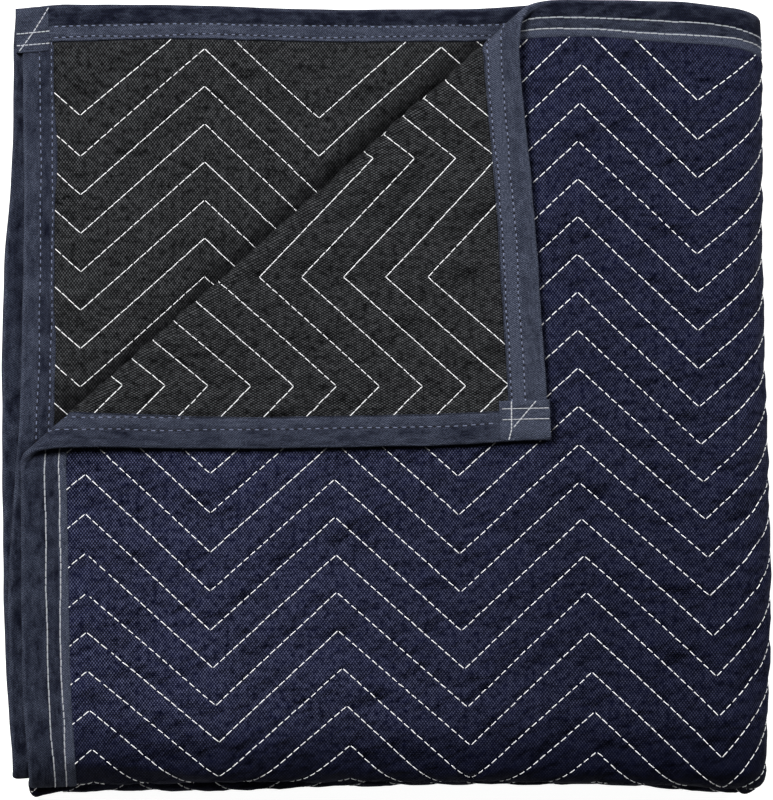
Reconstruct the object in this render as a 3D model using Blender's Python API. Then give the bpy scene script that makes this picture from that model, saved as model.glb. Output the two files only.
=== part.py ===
"""A quilted moving blanket, folded in half three times, with its top corner turned back.

The two cloths and the four binding tapes are first laid out flat, in millimetres: u runs
along the length, v across the width, and the third axis stands off the navy side. One chain
of bends then folds everything together, so every piece keeps its place in the stack.
"""

import math

import bmesh
import bpy
from mathutils import Vector

MM = 0.001

# Flat size
LENGTH = 1834.4
WIDTH = 951.2

# Thickness: each layer of the stack holds both cloths
LAYER_PITCH = 5.6
HALF_PITCH = LAYER_PITCH / 2
CLOTH_INSIDE = 0.15
CLOTH_BOUND = 1.15
CREST = 2.45
SHOULDER = 2.05
GROOVE = 1.25

# Binding tape, folded round every edge
TAPE_WIDTH = 23.5
TAPE_INSIDE = 1.45
TAPE_OUTSIDE = 2.45
TAPE_WRAP = 1.0
CLOTH_INSET = 1.7
SEAM_GAP = 0.3
PUFF_START = TAPE_WIDTH + 0.5
PUFF_END = TAPE_WIDTH + 4.0

# Quilting: each row runs in zigzags along the length
ROW_PITCH = 22.62
ROW_PROFILE = ((0.0, GROOVE), (0.14, SHOULDER), (0.5, CREST), (0.86, SHOULDER))

# Turns of the zigzag: place along the length, height of the first row below the top edge,
# and how far the turn drifts along the length towards the fold
NAVY_TURNS = (
    (-40.0, -77.6, 0.0),
    (37.2, -11.2, 3.6),
    (111.6, -78.8, 5.4),
    (186.0, -13.2, 10.8),
    (262.8, -80.8, 3.6),
    (331.8, -15.2, 12.0),
    (403.8, -81.8, 13.0),
    (477.0, -15.2, 12.0),
    (LENGTH + 40.0, -15.2, 0.0),
)
BLACK_TURNS = (
    (-40.0, -86.6, 0.0),
    (39.4, -20.0, 0.0),
    (114.9, -86.6, 0.0),
    (197.2, -20.0, 0.0),
    (270.0, -86.6, 0.0),
    (345.0, -20.0, 0.0),
    (LENGTH - 321.6, -92.0, 0.0),
    (LENGTH - 250.2, -27.0, 0.0),
    (LENGTH - 177.0, -92.4, 0.0),
    (LENGTH - 108.6, -27.0, 0.0),
    (LENGTH - 34.2, -91.4, 0.0),
    (LENGTH + 40.0, -27.0, 0.0),
)

# Folds: the length in half, the width in half, the length in half again
FIRST_STEPS = 4
SECOND_STEPS = 5
THIRD_STEPS = 6
FIRST_RADIUS = 2 * HALF_PITCH
SECOND_RADIUS = 4 * HALF_PITCH
THIRD_RADIUS = 8 * HALF_PITCH
FIRST_FOLD = LENGTH / 2 - math.pi * FIRST_RADIUS / 2
SECOND_FOLD = WIDTH / 2 + math.pi * SECOND_RADIUS / 2
THIRD_FOLD = 422.8
THIRD_ARC = math.pi * THIRD_RADIUS

# Turned-back corner: a soft roll along a slanting line, then the corner lies flat on top
CORNER_ALONG = 302.4
CORNER_DOWN = 269.4
ROLL_GAP = 1.7
ROLL_STEPS = 6
ROLL_RADIUS = 5.0
ROLL_ARC = math.pi * ROLL_RADIUS
ROLL_OUTSIDE = ROLL_GAP + LAYER_PITCH
CORNER_STRETCH = 1.019
CORNER_SKEW = 0.3128
CORNER_REST = 0.4
SETTLE_LENGTH = 60.0
SETTLE_STEPS = 3

# Where the folded stack stands
LEFT_EDGE = -217.5
TOP_EDGE = 238.2
FLOOR = HALF_PITCH - 8 * LAYER_PITCH + (HALF_PITCH - TAPE_OUTSIDE)
PLAN_SHIFT = (0.33, -0.89)

# How far each bound edge wanders outwards from straight: place along the edge, distance
LEFT_EDGE_WANDER = (
    (0.0, -3.0),
    (300.0, -2.0),
    (455.0, -2.8),
    (496.0, -2.8),
    (520.0, -0.4),
    (545.0, 1.0),
    (575.0, 1.4),
    (650.0, 1.8),
    (682.0, 0.0),
    (WIDTH, 0.0),
)
RIGHT_EDGE_WANDER = (
    (0.0, 5.0),
    (60.0, 6.4),
    (110.0, 8.0),
    (150.0, 12.0),
    (210.0, 13.6),
    (300.0, 13.2),
    (380.0, 12.0),
    (425.0, 9.0),
    (455.0, 5.0),
    (496.0, 5.0),
    (530.0, 8.4),
    (600.0, 9.8),
    (650.0, 6.8),
    (690.0, 3.4),
    (730.0, 1.6),
    (790.0, 0.4),
    (850.0, 0.0),
    (WIDTH, 1.2),
)
TOP_EDGE_WANDER = (
    (0.0, 0.0),
    (345.0, 0.0),
    (375.0, -0.2),
    (405.0, -2.4),
    (422.8, -4.6),
    (458.0, -9.0),
    (493.2, -5.0),
    (600.0, -4.0),
    (1300.0, -4.4),
    (1460.0, -3.4),
    (1520.0, -0.4),
    (1560.0, -3.4),
    (1668.0, -4.4),
    (1749.0, -2.0),
    (1819.0, -0.8),
    (LENGTH, -1.6),
)
BOTTOM_EDGE_WANDER = (
    (0.0, -6.0),
    (900.0, -5.0),
    (LENGTH, -6.5),
)
WANDER_REACH = 70.0

# How far the folds wander outwards: place across the stack, distance
RIGHT_FOLD_WANDER = (
    (-210.0, 0.6),
    (-166.0, 1.8),
    (-110.0, 3.2),
    (-60.0, 1.5),
    (85.0, -2.2),
    (206.0, -2.4),
    (240.0, -4.0),
)
UPPER_FOLD_WANDER = (
    (-214.0, 2.7),
    (-162.0, 0.6),
    (-100.0, -0.8),
    (74.0, -1.2),
    (145.0, 0.8),
    (186.0, 2.0),
    (206.0, 4.0),
    (228.0, 1.0),
)
LOWER_FOLD_WANDER = (
    (-214.0, 5.4),
    (-162.0, 2.6),
    (-100.0, 2.3),
    (74.0, 0.0),
    (145.0, 0.0),
    (186.0, 4.5),
    (206.0, 6.5),
    (228.0, 5.0),
)
FOLD_REACH = 140.0
MID_STACK = 4 * LAYER_PITCH
MID_BLEND = 8.0

# The open sides of the stack are pressed lower than its middle: place, share of the height
LOFT_ACROSS = ((-220.0, -0.05), (-120.0, -0.015), (20.0, 0.0), (230.0, 0.0))
LOFT_DOWN = ((-231.0, -0.01), (-100.0, 0.0), (120.0, 0.0), (240.0, -0.04))

MATERIALS = {
    "navy_cloth": ((0.014, 0.016, 0.045, 1.0), 0.9),
    "black_cloth": ((0.014, 0.014, 0.015, 1.0), 0.92),
    "slate_binding": ((0.045, 0.055, 0.085, 1.0), 0.95),
}


def between(table, place):
    """Straight interpolation in a table of places and values."""
    if place <= table[0][0]:
        return table[0][1]
    for (start, low), (end, high) in zip(table, table[1:]):
        if place <= end:
            return low + (high - low) * (place - start) / (end - start)
    return table[-1][1]


def soft(t):
    """Ease from 0 to 1."""
    t = min(max(t, 0.0), 1.0)
    return t * t * (3 - 2 * t)


def half_turn(angle, steps):
    """Sine and cosine round a half turn, straight between the steps that the mesh is cut at."""
    place = angle / math.pi * steps
    low = min(int(place), steps - 1)
    start = math.pi * low / steps
    end = math.pi * (low + 1) / steps
    share = place - low
    sine = math.sin(start) + (math.sin(end) - math.sin(start)) * share
    cosine = math.cos(start) + (math.cos(end) - math.cos(start)) * share
    return sine, cosine


def settled(share):
    """Ease from 0 to 1, straight between the steps that the mesh is cut at."""
    place = min(share, 1.0) * SETTLE_STEPS
    low = min(int(place), SETTLE_STEPS - 1)
    start = soft(low / SETTLE_STEPS)
    return start + (soft((low + 1) / SETTLE_STEPS) - start) * (place - low)


# The bends


def wander(point):
    """Shift the bound edges of the flat blanket to their uneven lines."""
    u, v, n = point
    left = between(LEFT_EDGE_WANDER, v) * max(0.0, 1 - u / WANDER_REACH)
    right = between(RIGHT_EDGE_WANDER, v) * max(0.0, 1 - (LENGTH - u) / WANDER_REACH)
    top = between(TOP_EDGE_WANDER, u) * max(0.0, 1 - (WIDTH - v) / WANDER_REACH)
    bottom = between(BOTTOM_EDGE_WANDER, u) * max(0.0, 1 - v / WANDER_REACH)
    return Vector((u - left + right, v + top - bottom, n))


CREASE_LENGTH = math.hypot(CORNER_ALONG, CORNER_DOWN)
CREASE_ALONG = Vector((CORNER_ALONG, CORNER_DOWN, 0.0)) / CREASE_LENGTH
CREASE_ACROSS = Vector((-CORNER_DOWN, CORNER_ALONG, 0.0)) / CREASE_LENGTH
CREASE_START = Vector((0.0, WIDTH - CORNER_DOWN, 0.0)) - CREASE_ACROSS * ROLL_OUTSIDE


def turn_corner(point):
    """Roll the corner over the top along the slanting crease and settle it on the stack."""
    offset = point - CREASE_START
    across = offset.dot(CREASE_ACROSS)
    if across <= 0:
        return point
    along = offset.dot(CREASE_ALONG)
    axis = HALF_PITCH + ROLL_GAP
    rise = axis - point.z
    angle = min(across / ROLL_RADIUS, math.pi)
    past = max(0.0, across - ROLL_ARC)
    settle = settled(past / SETTLE_LENGTH) * (2 * ROLL_GAP - CORNER_REST)
    sine, cosine = half_turn(angle, ROLL_STEPS)
    across = rise * sine - past * CORNER_STRETCH
    along += past * CORNER_SKEW
    flat = CREASE_START + CREASE_ALONG * along + CREASE_ACROSS * across
    return Vector((flat.x, flat.y, axis - rise * cosine - settle))


def fold_under(point, direction, side, line, radius, steps):
    """Turn what lies past a line down and back under the rest."""
    past = side * (point[direction] - line)
    if past <= 0:
        return point
    axis = HALF_PITCH - radius
    reach = point.z - axis
    angle = min(past / radius, math.pi)
    sine, cosine = half_turn(angle, steps)
    level = reach * sine - max(0.0, past - math.pi * radius)
    folded = point.copy()
    folded[direction] = line + side * level
    folded.z = axis + reach * cosine
    return folded


def settle_stack(point):
    """Place the stack on the floor and let its folds and open sides stand unevenly."""
    x = point.x + LEFT_EDGE
    y = point.y - WIDTH + TOP_EDGE
    z = point.z - FLOOR
    right = THIRD_FOLD + THIRD_RADIUS + LEFT_EDGE
    low = SECOND_FOLD - SECOND_RADIUS - WIDTH + TOP_EDGE
    upper = soft((z - MID_STACK + MID_BLEND) / (2 * MID_BLEND))
    side_share = min(max(1 - (right - x) / FOLD_REACH, 0.0), 1.0)
    low_share = min(max(1 - (y - low) / FOLD_REACH, 0.0), 1.0)
    lower_out = between(LOWER_FOLD_WANDER, x)
    down = lower_out + (between(UPPER_FOLD_WANDER, x) - lower_out) * upper
    loft = 1 + between(LOFT_ACROSS, x) + between(LOFT_DOWN, y)
    return Vector(
        (
            x + between(RIGHT_FOLD_WANDER, y) * side_share + PLAN_SHIFT[0],
            y - down * low_share + PLAN_SHIFT[1],
            z * loft,
        )
    )


def folded(point):
    """Where a point of the flat blanket lies in the folded one."""
    point = turn_corner(wander(point))
    point = fold_under(point, 0, 1, FIRST_FOLD, FIRST_RADIUS, FIRST_STEPS)
    point = fold_under(point, 1, -1, SECOND_FOLD, SECOND_RADIUS, SECOND_STEPS)
    point = fold_under(point, 0, 1, THIRD_FOLD, THIRD_RADIUS, THIRD_STEPS)
    return settle_stack(point) * MM


# Lines across the flat blanket where the surface bends or an edge changes course

U_AXIS = Vector((1.0, 0.0, 0.0))
V_AXIS = Vector((0.0, 1.0, 0.0))


def arc_lines(start, radius, steps):
    return [start + math.pi * radius * i / steps for i in range(steps + 1)]


def layer_places(across):
    """Every place along the length that lies at one place across the folded stack."""
    turned = 2 * THIRD_FOLD + THIRD_ARC - across
    return [across, turned, LENGTH - turned, LENGTH - across]


def bend_lines():
    """Direction, place and reach of every line that has to be an edge of the mesh."""
    lines = []
    mirrored = LENGTH - THIRD_FOLD - THIRD_ARC
    lower = SECOND_FOLD - math.pi * SECOND_RADIUS
    for start in (THIRD_FOLD, mirrored):
        for u in arc_lines(start, THIRD_RADIUS, THIRD_STEPS):
            lines.append((U_AXIS, u, None))
    for u in arc_lines(FIRST_FOLD, FIRST_RADIUS, FIRST_STEPS):
        lines.append((U_AXIS, u, None))
    for v in arc_lines(lower, SECOND_RADIUS, SECOND_STEPS):
        lines.append((V_AXIS, v, None))
    for across, _ in LOFT_ACROSS[1:-1]:
        for u in layer_places(across - LEFT_EDGE):
            lines.append((U_AXIS, u, None))
    for down, _ in LOFT_DOWN[1:-1]:
        v = down + WIDTH - TOP_EDGE
        lines.append((V_AXIS, v, None))
        lines.append((V_AXIS, WIDTH - v, None))
    for v, _ in LEFT_EDGE_WANDER[1:-1]:
        lines.append((V_AXIS, v, (0, 0.0, PUFF_END + 1)))
    for v, _ in RIGHT_EDGE_WANDER[1:-1]:
        lines.append((V_AXIS, v, (0, LENGTH - PUFF_END - 1, LENGTH)))
    for u, _ in TOP_EDGE_WANDER[1:-1]:
        lines.append((U_AXIS, u, (1, WIDTH - PUFF_END - 1, WIDTH)))
    for u, _ in BOTTOM_EDGE_WANDER[1:-1]:
        lines.append((U_AXIS, u, (1, 0.0, PUFF_END + 1)))
    for across, _ in UPPER_FOLD_WANDER[1:-1]:
        if across - LEFT_EDGE < THIRD_FOLD:
            for u in layer_places(across - LEFT_EDGE):
                lines.append((U_AXIS, u, (1, SECOND_FOLD - 1.2 * math.pi * SECOND_RADIUS, SECOND_FOLD + 8)))
    for down, _ in RIGHT_FOLD_WANDER[1:-1]:
        v = down + WIDTH - TOP_EDGE
        for place in (v, WIDTH - v):
            lines.append((V_AXIS, place, (0, THIRD_FOLD - 8, THIRD_FOLD + THIRD_ARC + 8)))
    for step in range(ROLL_STEPS + 1):
        place = CREASE_START.dot(CREASE_ACROSS) + ROLL_ARC * step / ROLL_STEPS
        lines.append((CREASE_ACROSS, place, None))
    for step in range(1, SETTLE_STEPS + 1):
        place = CREASE_START.dot(CREASE_ACROSS) + ROLL_ARC + SETTLE_LENGTH * step / SETTLE_STEPS
        lines.append((CREASE_ACROSS, place, None))
    return lines


def slice_at(mesh, direction, place, clear_outer=False, clear_inner=False):
    """Cut a mesh along a line, on its own or taking away what lies past it."""
    everything = mesh.verts[:] + mesh.edges[:] + mesh.faces[:]
    return bmesh.ops.bisect_plane(
        mesh,
        geom=everything,
        dist=1e-4,
        plane_co=direction * place,
        plane_no=direction,
        clear_outer=clear_outer,
        clear_inner=clear_inner,
    )["geom_cut"]


def cut_bend_lines(mesh):
    """Cut every bend line and mark, as seams, the edges that the folding needs."""
    for direction, place, reach in bend_lines():
        for item in slice_at(mesh, direction, place):
            if not isinstance(item, bmesh.types.BMEdge):
                continue
            middle = (item.verts[0].co + item.verts[1].co) / 2
            if reach is None or reach[1] <= middle[reach[0]] <= reach[2]:
                item.seam = True


def finish_piece(name, mesh, slot, collection):
    """Merge what stays flat, fold the mesh and make it a named object."""
    bmesh.ops.dissolve_limit(
        mesh,
        angle_limit=0.01,
        verts=mesh.verts[:],
        edges=mesh.edges[:],
        delimit={"SEAM"},
    )
    bmesh.ops.triangulate(mesh, faces=mesh.faces[:], quad_method="BEAUTY", ngon_method="BEAUTY")
    for vert in mesh.verts:
        vert.co = folded(vert.co)
    bmesh.ops.recalc_face_normals(mesh, faces=mesh.faces[:])
    if mesh.calc_volume(signed=True) < 0:
        bmesh.ops.reverse_faces(mesh, faces=mesh.faces[:])
    data = bpy.data.meshes.new(name)
    mesh.to_mesh(data)
    mesh.free()
    data.shade_smooth()
    data.set_sharp_from_angle(angle=math.radians(50))
    color, roughness = MATERIALS[slot]
    material = bpy.data.materials.get(slot) or bpy.data.materials.new(slot)
    material.use_nodes = True
    shader = material.node_tree.nodes["Principled BSDF"]
    shader.inputs["Base Color"].default_value = color
    shader.inputs["Roughness"].default_value = roughness
    shader.inputs["Metallic"].default_value = 0.0
    data.materials.append(material)
    piece = bpy.data.objects.new(name, data)
    collection.objects.link(piece)
    return piece


# The cloths


def quilted_rows(turns, lowest):
    """A grid whose rows follow the zigzag, each row at its own height."""
    rows = []
    step = -4
    while True:
        for share, height in ROW_PROFILE:
            rows.append((-(step + share) * ROW_PITCH, height))
        step += 1
        if -step * ROW_PITCH < lowest:
            break
    rows.append((-WIDTH - 40.0, CREST))
    mesh = bmesh.new()
    bmesh.ops.create_grid(mesh, x_segments=len(turns) - 1, y_segments=len(rows) - 1, size=1.0)
    for vert in mesh.verts:
        column = round((vert.co.x + 1) / 2 * (len(turns) - 1))
        row = round((1 - vert.co.y) / 2 * (len(rows) - 1))
        place, first, lean = turns[column]
        below, height = rows[row]
        drift = lean * min(max(-below / (WIDTH / 2), 0.0), 1.0)
        vert.co = Vector((place + drift, WIDTH + first + below, height))
    return mesh


def bound_share(u, v):
    """0 under the binding, 1 where the quilting stands up to its full height."""
    nearest = min(u, LENGTH - u, v, WIDTH - v)
    return min(max((nearest - PUFF_START) / (PUFF_END - PUFF_START), 0.0), 1.0)


def navy_relief(point):
    """1 where the navy quilting shows, 0 where it lies inside the stack."""
    along = 1 - (point.x - THIRD_FOLD - 38) / 10
    down = 1 - (WIDTH / 2 - point.y) / 8
    corner = 1 - ((point - CREASE_START).dot(CREASE_ACROSS) + 2) / 8
    return min(max(min(along, down, corner), 0.0), 1.0)


def second_corner(point):
    """Distance of a point of the second layer into the part that the corner leaves open."""
    mirrored = Vector((LENGTH - point.x, point.y, 0.0)) - CREASE_START
    return mirrored.dot(CREASE_ACROSS) - ROLL_OUTSIDE


def black_relief(point):
    """1 where the black quilting shows: on the turned corner and on the layer below it."""
    turned = ((point - CREASE_START).dot(CREASE_ACROSS) + 4) / 6
    opened = (second_corner(point) + 14) / 8
    return min(max(turned, opened, 0.0), 1.0)


def navy_relief_lines():
    base = CREASE_START.dot(CREASE_ACROSS)
    return [
        (U_AXIS, THIRD_FOLD + 38),
        (U_AXIS, THIRD_FOLD + 48),
        (V_AXIS, WIDTH / 2),
        (V_AXIS, WIDTH / 2 - 8),
        (CREASE_ACROSS, base - 2),
        (CREASE_ACROSS, base + 6),
    ]


def black_relief_lines():
    base = CREASE_START.dot(CREASE_ACROSS)
    facing = Vector((-CREASE_ACROSS.x, CREASE_ACROSS.y, 0.0))
    corner = Vector((LENGTH - CREASE_START.x, CREASE_START.y, 0.0)).dot(facing)
    return [
        (CREASE_ACROSS, base - 4),
        (CREASE_ACROSS, base + 2),
        (facing, corner + ROLL_OUTSIDE - 14),
        (facing, corner + ROLL_OUTSIDE - 6),
    ]


def build_cloth(name, slot, side, turns, lowest, relief, relief_lines, collection):
    """One cloth: quilted outer face, thin hem under the binding, flat inner face."""
    mesh = quilted_rows(turns, lowest)
    slice_at(mesh, U_AXIS, CLOTH_INSET, clear_inner=True)
    slice_at(mesh, U_AXIS, LENGTH - CLOTH_INSET, clear_outer=True)
    slice_at(mesh, V_AXIS, CLOTH_INSET, clear_inner=True)
    slice_at(mesh, V_AXIS, WIDTH - CLOTH_INSET, clear_outer=True)
    for inset in (PUFF_START, PUFF_END):
        for direction, size in ((U_AXIS, LENGTH), (V_AXIS, WIDTH)):
            slice_at(mesh, direction, inset)
            slice_at(mesh, direction, size - inset)
    for direction, place in relief_lines:
        slice_at(mesh, direction, place)
    for vert in mesh.verts:
        height = CREST + (vert.co.z - CREST) * relief(vert.co)
        height = CLOTH_BOUND + (height - CLOTH_BOUND) * bound_share(vert.co.x, vert.co.y)
        vert.co.z = height
    rim = [edge for edge in mesh.edges if edge.is_boundary]
    drop = bmesh.ops.extrude_edge_only(mesh, edges=rim)["geom"]
    for item in drop:
        if isinstance(item, bmesh.types.BMVert):
            item.co.z = CLOTH_INSIDE
    lower_rim = [item for item in drop if isinstance(item, bmesh.types.BMEdge)]
    lower_rim = [edge for edge in lower_rim if edge.is_boundary]
    bmesh.ops.contextual_create(mesh, geom=lower_rim)
    cut_bend_lines(mesh)
    for vert in mesh.verts:
        vert.co.z *= side
    return finish_piece(name, mesh, slot, collection)


# The binding


def box(name, low, high):
    """A plain box between two corners."""
    mesh = bmesh.new()
    bmesh.ops.create_cube(mesh, size=1.0)
    low = Vector(low)
    high = Vector(high)
    for vert in mesh.verts:
        share = vert.co + Vector((0.5, 0.5, 0.5))
        vert.co = Vector([low[i] + (high[i] - low[i]) * share[i] for i in range(3)])
    data = bpy.data.meshes.new(name)
    mesh.to_mesh(data)
    mesh.free()
    return bpy.data.objects.new(name, data)


def tape_blank(length):
    """A straight folded tape, closed at its lapped end and open along its inner side."""
    outline = (
        (TAPE_WIDTH, TAPE_OUTSIDE),
        (1.8, TAPE_OUTSIDE),
        (0.4, 1.9),
        (0.0, 1.0),
        (0.0, -1.0),
        (0.4, -1.9),
        (1.8, -TAPE_OUTSIDE),
        (TAPE_WIDTH, -TAPE_OUTSIDE),
    )
    mesh = bmesh.new()
    corners = [mesh.verts.new((0.0, across, height)) for across, height in outline]
    end = mesh.faces.new(corners)
    grown = bmesh.ops.extrude_face_region(mesh, geom=[end], use_keep_orig=True)["geom"]
    moved = [item for item in grown if isinstance(item, bmesh.types.BMVert)]
    bmesh.ops.translate(mesh, verts=moved, vec=(length, 0.0, 0.0))
    bmesh.ops.recalc_face_normals(mesh, faces=mesh.faces[:])
    data = bpy.data.meshes.new("tape_blank")
    mesh.to_mesh(data)
    mesh.free()
    return bpy.data.objects.new("tape_blank", data)


def build_binding(name, corner, along, across, length, helpers, collection):
    """Slot a tape blank for the cloth, lay it on its edge and fold it with the rest."""
    blank = tape_blank(length - TAPE_WIDTH - SEAM_GAP)
    slot = box(
        "tape_slot",
        (TAPE_WRAP, TAPE_WRAP, -TAPE_INSIDE),
        (length + 10.0, TAPE_WIDTH + 10.0, TAPE_INSIDE),
    )
    for helper in (blank, slot):
        helpers.objects.link(helper)
        helper.hide_render = True
        helper.display_type = "WIRE"
    opening = blank.modifiers.new("slot", "BOOLEAN")
    opening.operation = "DIFFERENCE"
    opening.object = slot
    opening.solver = "EXACT"
    graph = bpy.context.evaluated_depsgraph_get()
    cut = bpy.data.meshes.new_from_object(blank.evaluated_get(graph))
    mesh = bmesh.new()
    mesh.from_mesh(cut)
    bpy.data.meshes.remove(cut)
    for used in (blank, slot):
        bpy.data.objects.remove(used)
    for vert in mesh.verts:
        flat = Vector(corner) + Vector(along) * vert.co.x + Vector(across) * vert.co.y
        vert.co = Vector((flat.x, flat.y, vert.co.z))
    cut_bend_lines(mesh)
    return finish_piece(name, mesh, "slate_binding", collection)


# Build

for old in list(bpy.data.objects):
    bpy.data.objects.remove(old)

blanket = bpy.data.collections.new("moving_blanket")
bpy.context.scene.collection.children.link(blanket)
helpers = bpy.data.collections.new("helpers")
bpy.context.scene.collection.children.link(helpers)

build_cloth(
    "face_cloth",
    "navy_cloth",
    1,
    NAVY_TURNS,
    -WIDTH / 2 - 60,
    navy_relief,
    navy_relief_lines(),
    blanket,
)
build_cloth(
    "backing_cloth",
    "black_cloth",
    -1,
    BLACK_TURNS,
    -CORNER_DOWN - 60,
    black_relief,
    black_relief_lines(),
    blanket,
)

EDGES = (
    ("binding_left", (0.0, WIDTH, 0.0), (0.0, -1.0, 0.0), (1.0, 0.0, 0.0), WIDTH),
    ("binding_bottom", (0.0, 0.0, 0.0), (1.0, 0.0, 0.0), (0.0, 1.0, 0.0), LENGTH),
    ("binding_right", (LENGTH, 0.0, 0.0), (0.0, 1.0, 0.0), (-1.0, 0.0, 0.0), WIDTH),
    ("binding_top", (LENGTH, WIDTH, 0.0), (-1.0, 0.0, 0.0), (0.0, -1.0, 0.0), LENGTH),
)
for name, corner, along, across, length in EDGES:
    build_binding(name, corner, along, across, length, helpers, blanket)
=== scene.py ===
# %% [markdown]
# # A folded moving blanket
# A moving blanket is two cloths quilted together in zigzags and bound along every edge with
# tape. This one is folded in half three times and lies on a table, with the top corner turned
# back so that its black side shows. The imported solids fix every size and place. This script
# remakes the same cloths and tapes finely, sews them and gives them their finishes.

# %% The fixed frame
import math

import bmesh
import bpy
import numpy as np
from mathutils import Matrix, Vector, noise


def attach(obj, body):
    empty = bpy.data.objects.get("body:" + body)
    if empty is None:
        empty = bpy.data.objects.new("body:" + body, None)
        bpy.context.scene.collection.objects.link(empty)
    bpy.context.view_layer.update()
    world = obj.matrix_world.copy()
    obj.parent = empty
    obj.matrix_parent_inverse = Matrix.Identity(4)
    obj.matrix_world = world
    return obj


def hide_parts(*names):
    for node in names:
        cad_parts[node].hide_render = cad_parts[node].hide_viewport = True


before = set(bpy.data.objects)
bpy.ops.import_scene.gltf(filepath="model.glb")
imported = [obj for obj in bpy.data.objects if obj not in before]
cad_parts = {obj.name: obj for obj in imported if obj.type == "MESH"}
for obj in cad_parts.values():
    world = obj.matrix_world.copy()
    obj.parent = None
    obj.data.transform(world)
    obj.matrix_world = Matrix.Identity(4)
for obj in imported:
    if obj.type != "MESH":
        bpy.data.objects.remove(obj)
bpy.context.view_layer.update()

# %% [markdown]
# ## Sizes
# A maker thinks of the blanket laid flat, so every piece is first drawn flat, in millimetres:
# u runs along the length, v across the width, and n stands off the navy side. These are the
# sizes that the solids were built from.

# %% Flat sizes and thicknesses
MM = 0.001
LENGTH, WIDTH = 1834.4, 951.2
LAYER, HALF_LAYER = 5.6, 2.8
HEM, CREST, GROOVE = 1.15, 2.45, 1.25
ROW = 22.62
print("the cloth is", LENGTH, "by", WIDTH, "mm, each layer", LAYER, "mm thick")

# %% [markdown]
# ## Folding
# Cloth keeps its surface when it folds, so one chain of bends can carry every flat point to its
# place in the stack: the corner rolls back over a slanting crease, then the length, the width
# and the length again are turned under. Each bend works on whole arrays of points at once.

# %% How the edges and folds stray from straight
LEFT_EDGE = ((0, -3), (300, -2), (455, -2.8), (496, -2.8), (520, -0.4), (545, 1.0), (575, 1.4),
             (650, 1.8), (674, 1.9), (684, 0.6), (698, -3.6), (725, -2.8), (763, -0.4),
             (814, 1.2), (840, 1.4),
             (900, 2.2), (926, 0.4), (WIDTH, 0))
RIGHT_EDGE = ((0, 5), (20, 6.8), (60, 6.4), (110, 8), (150, 12), (210, 13.6), (300, 13.2),
              (380, 12),
              (425, 9.4), (455, 7), (496, 7), (530, 8.6), (600, 9.8), (650, 6.8), (690, 3.4),
              (730, 1.6), (790, 0.4), (850, 0), (WIDTH, 1.2))
TOP_EDGE = ((0, 0.4), (30, 0.8), (93, 0), (140, -0.2), (180, -1.0), (242, -3.2), (262, -3.6),
            (280, -3.4), (298, 0.2), (313, 2.0), (330, 1.9), (358, 1.9), (388, 1.1), (405, 0),
            (422.8, -2.0), (440, -4.6), (458, -9.5), (475, -12), (493.2, -11), (545, -5),
            (600, -4), (1290, -4.4), (1330, -10), (1376, -12), (1411, -9), (1432, -5),
            (1460, -3.4), (1520, -0.4), (1560, -3.4), (1640, -3.9), (1668, -3.6), (1727, -1.3),
            (1749, -1.0),
            (1819, -0.6), (LENGTH, -3.8))
BOTTOM_EDGE = ((0, -6), (900, -5), (LENGTH, -6.5))
RIGHT_FOLD = ((-210, 1.2), (-166, 2.8), (-110, 4.4), (-60, 2.8), (85, -1.3), (206, -1.4),
              (240, -3.2))
UPPER_FOLD = ((-214, 2.7), (-162, 0.6), (-100, -0.8), (74, -1.2), (145, 0.8), (186, 2),
              (206, 4), (228, 1))
LOWER_FOLD = ((-226, 13), (-216, 9.5), (-208, 6.6), (-162, 5.0), (-100, 4.6), (-50, 3.2),
              (20, 0.8), (74, 0.9), (145, 1.0),
              (186, 4.9), (206, 6.5), (228, 5))
LOW_CREASE = ((-186, -216.2), (-154, -219.9), (-130, -223.6), (-99, -227.2), (-60, -231))
LOW_SLOPE = ((-204, 0.3), (-190, 1.15), (-120, 1.15), (-80, 0))
LOFT_ACROSS = ((-220, -0.05), (-120, -0.015), (20, 0), (230, 0))
LOFT_DOWN = ((-238, -0.28), (-228, -0.17), (-220, -0.1), (-212, -0.05), (-204, -0.02), (-185, 0),
             (120, 0), (240, -0.04))


def read_table(table, places, spread=9.0):
    """Values read from a table of places, with its corners eased."""
    at, value = zip(*table)
    return sum(np.interp(places + step, at, value) for step in (-spread, 0, spread)) / 3


print("the top edge strays by up to", max(abs(by) for _, by in TOP_EDGE), "mm")


# %% The bends
FIRST_RADIUS, SECOND_RADIUS, THIRD_RADIUS = 2 * HALF_LAYER, 4 * HALF_LAYER, 8 * HALF_LAYER
FIRST_FOLD = LENGTH / 2 - math.pi * FIRST_RADIUS / 2
SECOND_FOLD = WIDTH / 2 + math.pi * SECOND_RADIUS / 2
THIRD_FOLD = 422.8
THIRD_ARC = math.pi * THIRD_RADIUS
FLOOR = HALF_LAYER - 8 * LAYER + (HALF_LAYER - CREST)
LEFT, TOP = -217.5, 238.2
SHIFT = (0.33, -0.89)

CORNER_ALONG, CORNER_DOWN = 302.4, 269.4
ROLL_GAP, ROLL_RADIUS, ROLL_OUTSIDE = 1.7, 5.0, 7.3
CREASE = np.array((CORNER_ALONG, CORNER_DOWN, 0)) / math.hypot(CORNER_ALONG, CORNER_DOWN)
ACROSS = np.array((-CREASE[1], CREASE[0], 0))
CREASE_START = np.array((0, WIDTH - CORNER_DOWN, 0)) - ACROSS * ROLL_OUTSIDE


def ease(share):
    share = np.clip(share, 0, 1)
    return share * share * (3 - 2 * share)


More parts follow.
